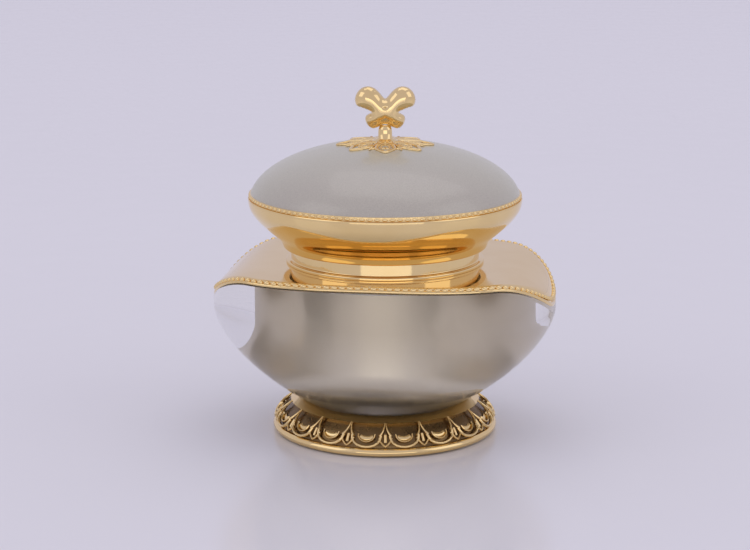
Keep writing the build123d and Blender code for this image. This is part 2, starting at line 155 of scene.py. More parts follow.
def blend_colours(tree, source, first, second, start=0.35, end=0.65):
    ramp = tree.nodes.new("ShaderNodeValToRGB")
    ramp.color_ramp.elements[0].position = start
    ramp.color_ramp.elements[0].color = (*first, 1)
    ramp.color_ramp.elements[1].position = end
    ramp.color_ramp.elements[1].color = (*second, 1)
    tree.links.new(source, ramp.inputs["Fac"])
    return ramp.outputs["Color"]


def add_bump(tree, shader, source, height, strength=1.0):
    bump = tree.nodes.new("ShaderNodeBump")
    bump.inputs["Distance"].default_value = height
    bump.inputs["Strength"].default_value = strength
    tree.links.new(source, bump.inputs["Height"])
    tree.links.new(bump.outputs["Normal"], shader.inputs["Normal"])


def gold(name, colour, deeper, roughness):
    """Bright electroplated gold: a mirror with faint cloudiness and the slight swell of plated plastic."""
    material, tree, shader = new_material(name)
    shader.inputs["Metallic"].default_value = 1.0
    clouds = object_noise(tree, 90)
    tree.links.new(blend_colours(tree, clouds, colour, deeper), shader.inputs["Base Color"])
    tree.links.new(
        spread(tree, object_noise(tree, 400, 4), roughness, roughness * 1.8), shader.inputs["Roughness"]
    )
    add_bump(tree, shader, object_noise(tree, 220, 1), 0.000004)
    return material


def clear_acrylic(name):
    """Thick polished acrylic that lets lamps through to what it holds."""
    material, tree, shader = new_material(name)
    shader.inputs["Transmission Weight"].default_value = 1.0
    shader.inputs["IOR"].default_value = 1.49
    shader.inputs["Base Color"].default_value = (0.945, 0.945, 0.935, 1)
    tree.links.new(spread(tree, object_noise(tree, 150, 3), 0.0, 0.004), shader.inputs["Roughness"])
    clear = tree.nodes.new("ShaderNodeBsdfTransparent")
    clear.inputs["Color"].default_value = (0.93, 0.93, 0.92, 1)
    path = tree.nodes.new("ShaderNodeLightPath")
    mix = tree.nodes.new("ShaderNodeMixShader")
    output = tree.nodes["Material Output"]
    tree.links.new(path.outputs["Is Shadow Ray"], mix.inputs["Fac"])
    tree.links.new(shader.outputs["BSDF"], mix.inputs[1])
    tree.links.new(clear.outputs["BSDF"], mix.inputs[2])
    tree.links.new(mix.outputs["Shader"], output.inputs["Surface"])
    return material


def champagne(name):
    """Satin metallised coating with the fine grain of the sprayed film; its colour is painted paler low
    down, a painted light on the bottom of the cup.
    """
    material, tree, shader = new_material(name)
    shader.inputs["Metallic"].default_value = 0.6
    tone = object_noise(tree, 60)
    tinted = blend_colours(tree, tone, (0.76, 0.67, 0.50), (0.79, 0.70, 0.53))
    place = tree.nodes.new("ShaderNodeTexCoord")
    axes = tree.nodes.new("ShaderNodeSeparateXYZ")
    tree.links.new(place.outputs["Object"], axes.inputs["Vector"])
    # painted light: the base colour is blended towards a pale champagne over the cup's lowest 16 mm,
    # standing in for light on the bottom
    painted_light_mix = tree.nodes.new("ShaderNodeMix")
    painted_light_mix.data_type = "RGBA"
    painted_light_mix.inputs[7].default_value = (0.97, 0.90, 0.76, 1)
    painted_light_share = spread(tree, axes.outputs["Z"], 1.0, 0.0, CUP_UNDER * MM, (CUP_UNDER + 16) * MM)
    tree.links.new(painted_light_share, painted_light_mix.inputs["Factor"])
    tree.links.new(tinted, painted_light_mix.inputs[6])
    tree.links.new(painted_light_mix.outputs[2], shader.inputs["Base Color"])
    tree.links.new(spread(tree, object_noise(tree, 120, 2), 0.36, 0.40), shader.inputs["Roughness"])
    add_bump(tree, shader, object_noise(tree, 9000, 2), 0.0000008)
    return material


def pearl(name):
    """Grey-white pearl lacquer under a clear coat, warmer and paler where it is seen edge-on: partly the
    pearl's own colour shift, partly a painted sheen.
    """
    material, tree, shader = new_material(name)
    # partly painted sheen: the colour turns paler and more yellow-green where the dome is seen edge-on, on
    # top of the pearl's real colour shift
    facing = tree.nodes.new("ShaderNodeLayerWeight")
    facing.inputs["Blend"].default_value = 0.35
    edge = blend_colours(tree, facing.outputs["Facing"], (0.51, 0.48, 0.40), (0.57, 0.57, 0.42), 0.3, 0.95)
    flakes = spread(tree, object_noise(tree, 5000, 2), 0.9, 1.1)
    mix = tree.nodes.new("ShaderNodeMix")
    mix.data_type = "RGBA"
    mix.blend_type = "MULTIPLY"
    mix.inputs["Factor"].default_value = 1.0
    tree.links.new(edge, mix.inputs[6])
    tree.links.new(flakes, mix.inputs[7])
    tree.links.new(mix.outputs[2], shader.inputs["Base Color"])
    tree.links.new(spread(tree, object_noise(tree, 250, 3), 0.28, 0.36), shader.inputs["Roughness"])
    shader.inputs["Metallic"].default_value = 0.1
    shader.inputs["Coat Weight"].default_value = 0.35
    shader.inputs["Coat Roughness"].default_value = 0.05
    return material


def moulded(name, colour, roughness, speckle=0.00001, scale=1500, translucent=0.0):
    """Moulded plastic or rubber with a fine surface texture."""
    material, tree, shader = new_material(name)
    darker = tuple(0.93 * part for part in colour)
    tree.links.new(blend_colours(tree, object_noise(tree, 45), colour, darker), shader.inputs["Base Color"])
    tree.links.new(
        spread(tree, object_noise(tree, 500, 3), roughness, min(1, roughness * 1.25)),
        shader.inputs["Roughness"],
    )
    shader.inputs["Subsurface Weight"].default_value = translucent
    shader.inputs["Subsurface Scale"].default_value = 0.002
    add_bump(tree, shader, object_noise(tree, scale, 3), speckle)
    return material


def steel(name):
    """Zinc-plated steel with fine turned lines."""
    material, tree, shader = new_material(name)
    shader.inputs["Metallic"].default_value = 1.0
    lines = object_noise(tree, 900, 3, (1, 1, 12))
    tree.links.new(
        blend_colours(tree, lines, (0.50, 0.51, 0.52), (0.64, 0.64, 0.63)), shader.inputs["Base Color"]
    )
    tree.links.new(spread(tree, lines, 0.25, 0.42), shader.inputs["Roughness"])
    add_bump(tree, shader, lines, 0.000008)
    return material


GOLD = gold("gold", (0.90, 0.685, 0.34), (0.87, 0.645, 0.30), 0.05)
# painted shade: a dark, dull gold for the recessed lace band, standing in for the shade and dark reflections
# in the recess
GOLD_PAINTED_SHADE = gold("gold_recess_painted_shade", (0.22, 0.14, 0.06), (0.14, 0.09, 0.04), 0.2)
ACRYLIC = clear_acrylic("clear_acrylic")
CHAMPAGNE = champagne("champagne")
PEARL = pearl("pearl")
WHITE_PP = moulded("white_pp", (0.86, 0.86, 0.84), 0.38, translucent=0.15)
BLACK_ABS = moulded("black_plastic", (0.03, 0.03, 0.032), 0.45, 0.00003, 2500)
FOAM = moulded("liner_foam", (0.85, 0.85, 0.82), 0.6, 0.00004, 3000)
SILICONE = moulded("silicone", (0.55, 0.56, 0.56), 0.35, translucent=0.3)
FOOT_RUBBER = moulded("foot_rubber", (0.035, 0.035, 0.037), 0.75, 0.00004, 2500)
STEEL = steel("steel")


# ---------------------------------------------------------------- mesh tools


def make_piece(name, bm, materials, body, replaced=(), sharp=32.0):
    """Turns a bmesh in millimetres into a shown piece that rides on a body."""
    bmesh.ops.remove_doubles(bm, verts=bm.verts, dist=1e-5)
    bmesh.ops.recalc_face_normals(bm, faces=bm.faces)
    bmesh.ops.scale(bm, vec=(MM, MM, MM), verts=bm.verts)
    limit = radians(sharp)
    for face in bm.faces:
        face.smooth = True
    for edge in bm.edges:
        edge.smooth = len(edge.link_faces) == 2 and edge.calc_face_angle(0) < limit
    mesh = bpy.data.meshes.new(name)
    bm.to_mesh(mesh)
    bm.free()
    for material in materials:
        mesh.materials.append(material)
    piece = bpy.data.objects.new(name, mesh)
    bpy.context.scene.collection.objects.link(piece)
    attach(piece, body)
    if replaced:
        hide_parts(*replaced)
    return piece


def skin(bm, rings, closed_rings=True, joined=False, material=0):
    """Quads between rings of points; a ring of one point is a pole, and joined links last to first."""
    made = [[bm.verts.new(point) for point in ring] for ring in rings]
    pairs = list(zip(made, made[1:]))
    if joined:
        pairs.append((made[-1], made[0]))
    for first, second in pairs:
        count = max(len(first), len(second))
        for i in range(count if closed_rings else count - 1):
            j = (i + 1) % count
            if len(first) == 1:
                corners = (first[0], second[j], second[i])
            elif len(second) == 1:
                corners = (first[i], first[j], second[0])
            else:
                corners = (first[i], first[j], second[j], second[i])
            face = bm.faces.new(corners)
            face.material_index = material
    return made


def turn(radius, height, segments):
    """A ring of points about the axis; at the axis itself, one point."""
    if radius < 1e-6:
        return [Vector((0, 0, height))]
    return [
        Vector((radius * cos(tau * i / segments), radius * sin(tau * i / segments), height))
        for i in range(segments)
    ]


def lathe(bm, profile, segments=192, joined=False, material=0):
    """Turns a profile of (radius, height) about the axis."""
    skin(bm, [turn(r, z, segments) for r, z in profile], joined=joined, material=material)


def rounded(corners, radii, steps=5):
    """A closed profile whose corners are rounded: radii holds one radius for each corner."""
    points = []
    count = len(corners)
    for i, (corner, radius) in enumerate(zip(corners, radii)):
        here = Vector(corner)
        if radius <= 0:
            points.append(here)
            continue
        back = (Vector(corners[i - 1]) - here).normalized()
        ahead = (Vector(corners[(i + 1) % count]) - here).normalized()
        half = back.angle(ahead) / 2
        reach = radius / (sin(half) / cos(half))
        centre = here + (back + ahead).normalized() * (radius / sin(half))
        start = here + back * reach - centre
        end = here + ahead * reach - centre
        sweep = start.angle_signed(end)
        for k in range(steps + 1):
            points.append(centre + Matrix.Rotation(-sweep * k / steps, 2) @ start)
    return [(p.x, p.y) for p in points]


def smooth_through(points, per_span=8, closed=False):
    """A Catmull-Rom curve through points of any size."""
    pts = [Vector(p) for p in points]
    count = len(pts)
    spans = count if closed else count - 1
    result = []
    for i in range(spans):
        if closed:
            p0, p1, p2, p3 = (pts[(i + k) % count] for k in (-1, 0, 1, 2))
        else:
            p0, p1 = pts[max(i - 1, 0)], pts[i]
            p2, p3 = pts[i + 1], pts[min(i + 2, count - 1)]
        for k in range(per_span):
            t = k / per_span
            result.append(
                0.5 * (2 * p1 + (p2 - p0) * t + (2 * p0 - 5 * p1 + 4 * p2 - p3) * t * t
                       + (3 * p1 - p0 - 3 * p2 + p3) * t**3)
            )
    if not closed:
        result.append(pts[-1])
    return result


def wire(bm, points, normals, half_width, half_height, closed=False, sides=8, material=0, taper=None):
    """A rounded strip along points: half_width across the surface, half_height along its normals."""
    count = len(points)
    rings = []
    for i, (point, normal) in enumerate(zip(points, normals)):
        if closed:
            along = points[(i + 1) % count] - points[i - 1]
        else:
            along = points[min(i + 1, count - 1)] - points[max(i - 1, 0)]
        along.normalize()
        across = along.cross(normal).normalized()
        up = across.cross(along).normalized()
        share = taper(i / max(count - 1, 1)) if taper else 1.0
        rings.append([
            point + across * (half_width * share * cos(tau * k / sides))
            + up * (half_height * share * sin(tau * k / sides))
            for k in range(sides)
        ])
    if not closed:
        rings = [[points[0].copy()]] + rings + [[points[-1].copy()]]
    skin(bm, rings, joined=closed, material=material)


def bead(bm, centre, along, normal, sizes, columns=10, rows=6, material=0):
    """One small bead: an ellipsoid with half-sizes along, across and out of its surface."""
    across = normal.cross(along).normalized()
    rings = []
    for row in range(rows + 1):
        polar = pi * row / rows
        ring = []
        for column in range(columns if 0 < row < rows else 1):
            turned = tau * column / columns
            ring.append(
                centre + along * (sizes[0] * cos(polar))
                + across * (sizes[1] * sin(polar) * cos(turned))
                + normal * (sizes[2] * sin(polar) * sin(turned))
            )
        rings.append(ring)
    skin(bm, rings, material=material)


# ---------------------------------------------------------------- bowl and shoulder surfaces


def signed_power(value, power):
    size = abs(value) ** power
    return size if value >= 0 else -size


def reach(half_size, share, power):
    """The bowl's half-length or half-width at a share of its height from foot to tips."""
    depth = BOWL_CUT * (1 - min(share, 1.0))
    return half_size * (1 - depth**power) ** (1 / power)


def bowl_point(angle, height):
    """A point on the bowl's outer side."""
    share = (height - FOOT_Z) / (TIP_Z - FOOT_Z)
    along_power = 2 + min(share, 1.0) * (END_POWER - 2)
    across_power = 2 + min(share, 1.0) * (SIDE_POWER - 2)
    x = reach(BOWL_LENGTH, share, LENGTH_POWER) * signed_power(cos(angle), 2 / along_power)
    y = reach(BOWL_WIDTH, share, WIDTH_POWER) * signed_power(sin(angle), 2 / across_power)
    return Vector((x, y, height))


def shoulder_height(x, depth=0.0):
    """The shoulder's height at a distance along the bowl, or that of a parallel surface below it."""
    full = ((BOWL_LENGTH - SHOULDER_FLAT) ** 2 + TIP_DROOP**2) / (2 * TIP_DROOP)
    beyond = max(0.0, abs(x) - SHOULDER_FLAT)
    return SHOULDER_TOP - full + sqrt((full - depth) ** 2 - beyond**2)


def plan_angles(count):
    """Even angles, with one at the middle of each end and side."""
    return [tau * i / count for i in range(count)]


def plan_ring(inset, lift, count=240):
    """The shoulder's outline, inset, on a surface parallel to the top one."""
    ring = []
    for angle in plan_angles(count):
        x = (BOWL_LENGTH - inset) * signed_power(cos(angle), 2 / END_POWER)
        y = (BOWL_WIDTH - inset) * signed_power(sin(angle), 2 / SIDE_POWER)
        ring.append(Vector((x, y, shoulder_height(x, lift))))
    return ring


def between(first, second, share, depth):
    """A ring part of the way from one ring to another, laid on the shoulder's surface."""
    ring = []
    for a, b in zip(first, second):
        point = a.lerp(b, share)
        point.z = shoulder_height(point.x, depth)
        ring.append(point)
    return ring


def circle_like(ring, radius, height):
    """A circle whose points face those of a plan ring."""
    result = []
    for point in ring:
        turned = atan2(point.y, point.x)
        result.append(Vector((radius * cos(turned), radius * sin(turned), height)))
    return result


def build_bowl():
    bm = bmesh.new()
    count = 240
    rows = 40
    tops = []
    for angle in plan_angles(count):
        height = SHOULDER_TOP - SHOULDER_THICKNESS
        for _ in range(12):
            height = shoulder_height(bowl_point(angle, height).x, SHOULDER_THICKNESS)
        tops.append(height)
    round_ring = [bowl_point(angle, FOOT_Z) for angle in plan_angles(count)]
    spigot_under = FOOT_Z - BASE_WALL
    rings = [circle_like(round_ring, radius, spigot_under) for radius in (0.001, 8, SPIGOT_RADIUS - 0.2)]
    rings.append(circle_like(round_ring, SPIGOT_RADIUS, spigot_under + 0.2))
    rings.append(circle_like(round_ring, SPIGOT_RADIUS, FOOT_Z))
    rings.append(circle_like(round_ring, 18.6, FOOT_Z))
    for row in range(rows + 1):
        share = row / rows
        rings.append([
            bowl_point(angle, FOOT_Z + 0.15 + (top - 0.15 - FOOT_Z - 0.15) * share)
            for angle, top in zip(plan_angles(count), tops)
        ])
    outer = plan_ring(0.25, SHOULDER_THICKNESS)
    inner = circle_like(outer, FLANGE_RADIUS, SHOULDER_TOP - SHOULDER_THICKNESS)
    for share in (0, 0.04, 0.12, 0.25, 0.4, 0.55, 0.7, 0.85, 1.0):
        rings.append(between(outer, inner, share, SHOULDER_THICKNESS))
    rings.append(circle_like(outer, FLANGE_RADIUS, CUP_TOP))
    rings.append(circle_like(outer, CUP_RADIUS, CUP_TOP))
    wall_height = CUP_UNDER + CUP_CORNER - CUP_TOP
    for step in range(24):
        rings.append(circle_like(outer, CUP_RADIUS, CUP_TOP + wall_height * (step + 1) / 24))
    for step in range(1, 9):
        bend = pi / 2 * step / 8
        rings.append(
            circle_like(
                outer,
                CUP_RADIUS - CUP_CORNER * (1 - cos(bend)),
                CUP_UNDER + CUP_CORNER * (1 - sin(bend)),
            )
        )
    rings.append(circle_like(outer, 8, CUP_UNDER))
    rings.append(circle_like(outer, 0.001, CUP_UNDER))
    skin(bm, rings)
    return make_piece("bowl_clear", bm, [ACRYLIC], "jar", ["outer_bowl"], sharp=40)


def build_cup():
    """The champagne cup, whose outside reaches just into the bowl's wall."""
    outside = CUP_RADIUS + SKIN
    under = CUP_UNDER - SKIN
    profile = [(0, under)]
    for step in range(9):
        bend = pi / 2 * step / 8
        profile.append((
            outside - CUP_CORNER + CUP_CORNER * sin(bend),
            under + CUP_CORNER - CUP_CORNER * cos(bend),
        ))
    profile.append((outside, CUP_TOP - 0.05))
    profile.append((outside - 0.05, CUP_TOP))
    profile.append((CUP_RADIUS - CUP_WALL, CUP_TOP))
    for step in range(9):
        bend = pi / 2 * step / 8
        inner = CUP_CORNER - CUP_WALL
        profile.append((
            CUP_RADIUS - CUP_WALL - inner + inner * cos(bend),
            CUP_UNDER + CUP_WALL + inner - inner * sin(bend),
        ))
    profile.append((0, CUP_UNDER + CUP_WALL))
    bm = bmesh.new()
    lathe(bm, profile, 240)
    return make_piece("cup_champagne", bm, [CHAMPAGNE], "jar", ["champagne_cup"], sharp=40)


def build_shoulder():
    """The drooping gold plate: a curved sheet with a hole for the neck and a rolled outer edge."""
    bm = bmesh.new()
    inset = RIM_WIDTH - 0.35
    thickness = SHOULDER_THICKNESS + SKIN
    outer = plan_ring(inset, 0)
    inner = circle_like(outer, COLLAR_BORE, SHOULDER_TOP)
    shares = (0.0, 0.03, 0.08, 0.16, 0.28, 0.42, 0.57, 0.72, 0.86, 1.0)
    rings = [between(outer, inner, share, 0.0) for share in shares]
    rings[0] = between(outer, inner, 0.0, 0.3)
    rings += [between(outer, inner, share, thickness) for share in reversed(shares)]
    skin(bm, rings, joined=True)
    return make_piece("shoulder_gold", bm, [GOLD], "jar", ["shoulder_plate"], sharp=50)


def spaced(ring, pitch):
    """Points at even distances round a closed ring, with the direction of travel at each."""
    lengths = [0.0]
    for a, b in zip(ring, ring[1:] + ring[:1]):
        lengths.append(lengths[-1] + (b - a).length)
    total = lengths[-1]
    count = round(total / pitch)
    places, segment = [], 0
    for i in range(count):
        target = total * i / count
        while lengths[segment + 1] < target:
            segment += 1
        a, b = ring[segment], ring[(segment + 1) % len(ring)]
        share = (target - lengths[segment]) / (lengths[segment + 1] - lengths[segment])
        places.append((a.lerp(b, share), (b - a).normalized()))
    return places


def build_shoulder_beads(pitch=1.75):
    """A string of beads round the shoulder's edge, on a narrow gold strip."""
    bm = bmesh.new()
    line = plan_ring(0.55, 0.35, 480)
    up = Vector((0, 0, 1))
    wire(bm, plan_ring(0.55, 1.0), [up] * 240, 0.5, 0.55, closed=True)
    for centre, along in spaced(line, pitch):
        side = along.cross(up).normalized()
        normal = side.cross(along).normalized()
        bead(bm, centre, along, normal, (0.46 * pitch, 0.55, 0.52))
    return make_piece("shoulder_bead_string", bm, [GOLD], "jar", ["shoulder_beads"], sharp=60)


def build_collar():
    foot = COLLAR_RADIUS
    ring = foot - COLLAR_FOOT_WIDTH
    step = SHOULDER_TOP + COLLAR_FOOT_HEIGHT
    corners = [
        (COLLAR_BORE, SHOULDER_TOP), (foot, SHOULDER_TOP), (foot, step),
        (ring, step), (ring, COLLAR_TOP), (COLLAR_BORE, COLLAR_TOP),
    ]
    bm = bmesh.new()
    lathe(bm, rounded(corners, [0, 0.1, 0.35, 0.3, 0.4, 0.2]), 240, joined=True)
    return make_piece("collar_gold", bm, [GOLD], "jar", ["neck_collar"], sharp=40)


# ---------------------------------------------------------------- base


def lace_point(angle, share, lift=0.0):
    """A point on the lace band: share runs from its top edge to its bottom edge."""
    top = Vector((FOOT_RADIUS + 0.42 * FLARE, 0.9 * FOOT_Z))
    middle = Vector((BASE_RADIUS - 0.2 * FLARE, 0.56 * FOOT_Z))
    bottom = Vector((BASE_RADIUS - 0.5, 2.1))
    spot = top * ((1 - share) * (1 - 2 * share)) + middle * (4 * share * (1 - share))
    spot += bottom * (share * (2 * share - 1))
    slope = top * (4 * share - 3) + middle * (4 - 8 * share) + bottom * (4 * share - 1)
    out = Vector((-slope.y, slope.x)).normalized()
    spot += out * lift
    normal = Vector((out.x * cos(angle), out.x * sin(angle), out.y))
    return Vector((spot.x * cos(angle), spot.x * sin(angle), spot.y)), normal


def build_base():
    """The gold foot: rolled rim, recessed band for the lace in a dark gold that paints the recess's shade,
    smooth flare up to the bowl.
    """
    bm = bmesh.new()
    rim = [
        (BASE_RADIUS - 2.2, BASE_LOW), (BASE_RADIUS - 0.9, BASE_LOW), (BASE_RADIUS - 0.35, BASE_LOW + 0.2),
        (BASE_RADIUS, BASE_LOW + 0.85), (BASE_RADIUS - 0.2, BASE_LOW + 1.4), (BASE_RADIUS - 0.62, 2.05),
    ]
    band = []
    for step in range(13):
        point, _ = lace_point(0.0, 1 - step / 12, -LACE_THICKNESS)
        band.append((point.x, point.z))
    flare_start, _ = lace_point(0.0, 0.0)
    flare = [
        (flare_start.x, flare_start.z), (FOOT_RADIUS + 1.9, FOOT_Z - 0.42),
        (FOOT_RADIUS + 0.9, FOOT_Z - 0.14), (FOOT_RADIUS, FOOT_Z),
    ]
    rim_curve = [(p.x, p.y) for p in smooth_through(rim, 6)]
    flare_curve = [(p.x, p.y) for p in smooth_through(flare, 6)]
    inside = [
        (SPIGOT_RADIUS, FOOT_Z + SKIN), (SPIGOT_RADIUS, FOOT_Z - BASE_WALL),
        (FOOT_RADIUS, FOOT_Z - BASE_WALL), (FOOT_RADIUS + BASE_WALL, 3.5),
        (FOOT_RADIUS + BASE_WALL, 1.9), (BASE_RADIUS - 2.2, 1.9),
    ]
    lathe(bm, rim_curve + band[:1], 240)
    # the recessed band gets the dark gold of painted shade
    lathe(bm, band, 240, material=1)
    lathe(bm, band[-1:] + flare_curve + [(FOOT_RADIUS - 0.1, FOOT_Z + SKIN)] + inside + rim_curve[:1], 240)
    return make_piece("base_gold", bm, [GOLD, GOLD_PAINTED_SHADE], "jar", ["base_shell"], sharp=50)


def build_lace(motifs=18):
    """Openwork round the base: spikes, drops, large scallops and small half-moons."""
    bm = bmesh.new()
    step = tau / motifs
    radius = BASE_RADIUS - 2.0

    def trace(middle, outline, width, height, lift=-0.1, closed=False, taper=None):
        points, normals = [], []
        for across, share in outline:
            point, normal = lace_point(middle + across / radius, share, lift)
            points.append(point)
            normals.append(normal)
        wire(bm, points, normals, width, height, closed=closed, taper=taper)

    def taper_out(share):
        return 0.35 + 0.65 * share

    for motif in range(motifs):
        spike = KNOB_CLOCK - pi / 2 + motif * step
        bay = spike + step / 2
        for side in (-1, 1):
            leg = [(0.12 * side, -0.02), (0.28 * side, 0.12), (0.55 * side, 0.25), (0.95 * side, 0.36),
                   (1.35 * side, 0.44)]
            trace(spike, leg, 0.34, 0.42, 0.05, taper=taper_out)
        drop = [(-1.45, 0.50), (-1.0, 0.66), (-0.45, 0.79), (0, 0.86)]
        drop += [(-across, share) for across, share in reversed(drop[:-1])]
        trace(spike, drop, 0.24, 0.34, -0.1)
        trace(spike, [(0, 0.36), (0, 0.48), (0, 0.6), (0, 0.68)], 0.38, 0.34, -0.3)
        scallop = [(-3.25, 0.42), (-3.05, 0.56), (-2.6, 0.7), (-1.8, 0.81), (-0.9, 0.87), (0, 0.89)]
        scallop += [(-across, share) for across, share in reversed(scallop[:-1])]
        trace(bay, scallop, 0.32, 0.44, 0.0)
        moon = [(-1.9, 0.36), (-1.75, 0.47), (-1.3, 0.57), (-0.65, 0.63), (0, 0.65)]
        moon += [(-across, share) for across, share in reversed(moon[:-1])]
        trace(bay, moon, 0.24, 0.36, -0.1)
        trace(bay, [(-1.5, 0.42), (-0.8, 0.47), (0, 0.49), (0.8, 0.47), (1.5, 0.42)], 0.55, 0.2, -0.45)
    return make_piece("base_lacework", bm, [GOLD], "jar", ["base_lace"], sharp=60)


# ---------------------------------------------------------------- lid


def dome_height(radius, lift=0.0):
    centre = LID_EDGE - DOME_SINK
    return centre + lift + DOME_RISE * sqrt(max(0.0, 1 - (radius / DOME_RADIUS) ** 2))


def build_dome():
    bm = bmesh.new()
    edge_radius = DOME_RADIUS * sqrt(1 - ((DOME_EDGE - LID_EDGE + DOME_SINK) / DOME_RISE) ** 2)
    profile = [(SCREW_HOLE, DOME_TOP - DOME_WALL), (SCREW_HOLE, dome_height(SCREW_HOLE))]
    profile += [(edge_radius * sin(pi / 2 * k / 48), dome_height(edge_radius * sin(pi / 2 * k / 48)))
                for k in range(2, 49)]
    profile += [(SPIGOT_OUTER, DOME_EDGE), (SPIGOT_OUTER, SPIGOT_UNDER), (SPIGOT_INNER, SPIGOT_UNDER)]
    inner_rise = DOME_RISE - DOME_WALL
    centre = LID_EDGE - DOME_SINK
    for k in range(24):
        radius = SPIGOT_INNER * cos(pi / 2 * k / 24)
        profile.append((radius, centre + inner_rise * sqrt(1 - (radius / SPIGOT_INNER) ** 2)))
    boss_under = DOME_TOP - 2.5
    profile += [(BOSS_RADIUS, DOME_TOP - 2.0), (BOSS_RADIUS, boss_under), (SCREW_HOLE, boss_under)]
    lathe(bm, profile, 240, joined=True)
    return make_piece("dome_pearl", bm, [PEARL], "lid", ["lid_dome"], sharp=40)


def build_skirt():
    """The gold skirt, flaring from the lip at the neck to the beaded edge."""
    height = LID_EDGE - LID_BOTTOM
    foot = SKIRT_FOOT
    flare = LID_RADIUS - foot
    hollow = LID_BOTTOM + 0.31 * height
    hollow_radius = LID_RADIUS - 3.1
    side = [
        (foot, LID_BOTTOM + 0.15), (foot + 0.11 * flare, LID_BOTTOM + 0.17 * height),
        (foot + 0.44 * flare, LID_BOTTOM + 0.37 * height), (foot + 0.74 * flare, LID_BOTTOM + 0.57 * height),
        (foot + 0.94 * flare, LID_BOTTOM + 0.77 * height), (LID_RADIUS, LID_BOTTOM + 0.95 * height),
        (LID_RADIUS - 0.12, LID_EDGE),
    ]
    profile = [(min(p.x, LID_RADIUS), p.y) for p in smooth_through(side, 8)]
    profile += [
        (SPIGOT_OUTER, LID_EDGE), (SPIGOT_OUTER, SPIGOT_UNDER), (hollow_radius, SPIGOT_UNDER),
        (hollow_radius, LID_BOTTOM + 0.7 * height), (CAP_RADIUS + SKIRT_WALL, hollow),
        (CAP_RADIUS, hollow), (CAP_RADIUS, LID_BOTTOM + LIP_HEIGHT), (LIP_RADIUS, LID_BOTTOM + LIP_HEIGHT),
        (LIP_RADIUS, LID_BOTTOM + 0.15), (LIP_RADIUS + 0.15, LID_BOTTOM), (foot - 0.15, LID_BOTTOM),
    ]
    bm = bmesh.new()
    lathe(bm, profile, 288, joined=True)
    return make_piece("skirt_gold", bm, [GOLD], "lid", ["lid_skirt"], sharp=40)


def build_lid_beads(count=118):
    bm = bmesh.new()
    middle = (LID_EDGE + DOME_EDGE) / 2
    lathe(bm, rounded([
        (SPIGOT_OUTER, LID_EDGE), (LID_RADIUS - 0.45, LID_EDGE),
        (LID_RADIUS - 0.45, DOME_EDGE), (SPIGOT_OUTER, DOME_EDGE),
    ], [0, 0.1, 0.1, 0]), 240, joined=True)
    pitch = tau * LID_RADIUS / count
    for i in range(count):
        angle = tau * i / count
        out = Vector((cos(angle), sin(angle), 0))
        along = Vector((-sin(angle), cos(angle), 0))
        bead(bm, out * (LID_RADIUS - 0.48) + Vector((0, 0, middle)), along, out, (0.42 * pitch, 0.4, 0.36))
    return make_piece("lid_bead_string", bm, [GOLD], "lid", ["lid_bead_ring"], sharp=60)


def build_rosette(petals=8):
    """Openwork flower that lies on the dome: looped petals, small leaves between them, a ring at the hub."""
    bm = bmesh.new()

    def on_dome(along, across, turned, lift):
        x = along * cos(turned) - across * sin(turned)
        y = along * sin(turned) + across * cos(turned)
        r = hypot(x, y)
        slope = DOME_RISE / DOME_RADIUS**2 * r / sqrt(1 - (r / DOME_RADIUS) ** 2)
        normal = Vector((slope * x / max(r, 1e-6), slope * y / max(r, 1e-6), 1)).normalized()
        return Vector((x, y, dome_height(r, lift))), normal

    def trace(turned, outline, width, height, lift, closed=False, tip_lift=0.0, taper=None):
        points, normals = [], []
        for along, across in outline:
            rise = lift - 0.3 + tip_lift * max(0.0, (along - 7) / 4.6) ** 2
            point, normal = on_dome(along, across, turned, rise)
            points.append(point)
            normals.append(normal)
        wire(bm, points, normals, width, height, closed=closed, taper=taper)

    def flat(points, per_span=6, closed=True):
        return [(p.x, p.y) for p in smooth_through(points, per_span, closed)]

    hub = [(2.7 * cos(tau * k / 48), 2.7 * sin(tau * k / 48)) for k in range(48)]
    trace(0, hub, 0.5, 0.42, 0.4, closed=True)
    lathe(bm, [(0.0, DOME_TOP + 0.75), (1.9, DOME_TOP + 0.7), (2.5, DOME_TOP + 0.35), (2.5, DOME_TOP - 0.1),
               (0.0, DOME_TOP - 0.1)], 48)
    for petal in range(petals):
        turned = KNOB_CLOCK - pi / 2 + tau * petal / petals
        loop = flat([(2.8, 0.0), (4.0, 1.15), (6.2, 2.0), (8.4, 1.9), (10.0, 0.95), (10.9, 0.0),
                     (10.0, -0.95), (8.4, -1.9), (6.2, -2.0), (4.0, -1.15)])
        trace(turned, loop, 0.42, 0.36, 0.38, closed=True, tip_lift=0.1)
        heart = flat([(4.4, 0.0), (5.6, 0.85), (7.2, 0.95), (8.0, 0.35), (7.2, 0.0), (8.0, -0.35),
                      (7.2, -0.95), (5.6, -0.85)])
        trace(turned, heart, 0.24, 0.28, 0.32, closed=True)
        between_petals = turned + pi / petals
        leaf = flat([(3.2, 0.0), (5.0, 0.5), (7.0, 0.85), (8.6, 0.0), (7.0, -0.85), (5.0, -0.5)])
        trace(between_petals, leaf, 0.3, 0.32, 0.3, closed=True, tip_lift=0.1)
        trace(between_petals, [(8.3, 0.0), (9.0, 0.0), (9.8, 0.0)], 0.45, 0.36, 0.45,
              taper=lambda t: 1.0 - 0.8 * t)
    return make_piece("rosette_lacework", bm, [GOLD], "lid", ["rosette"], sharp=60)


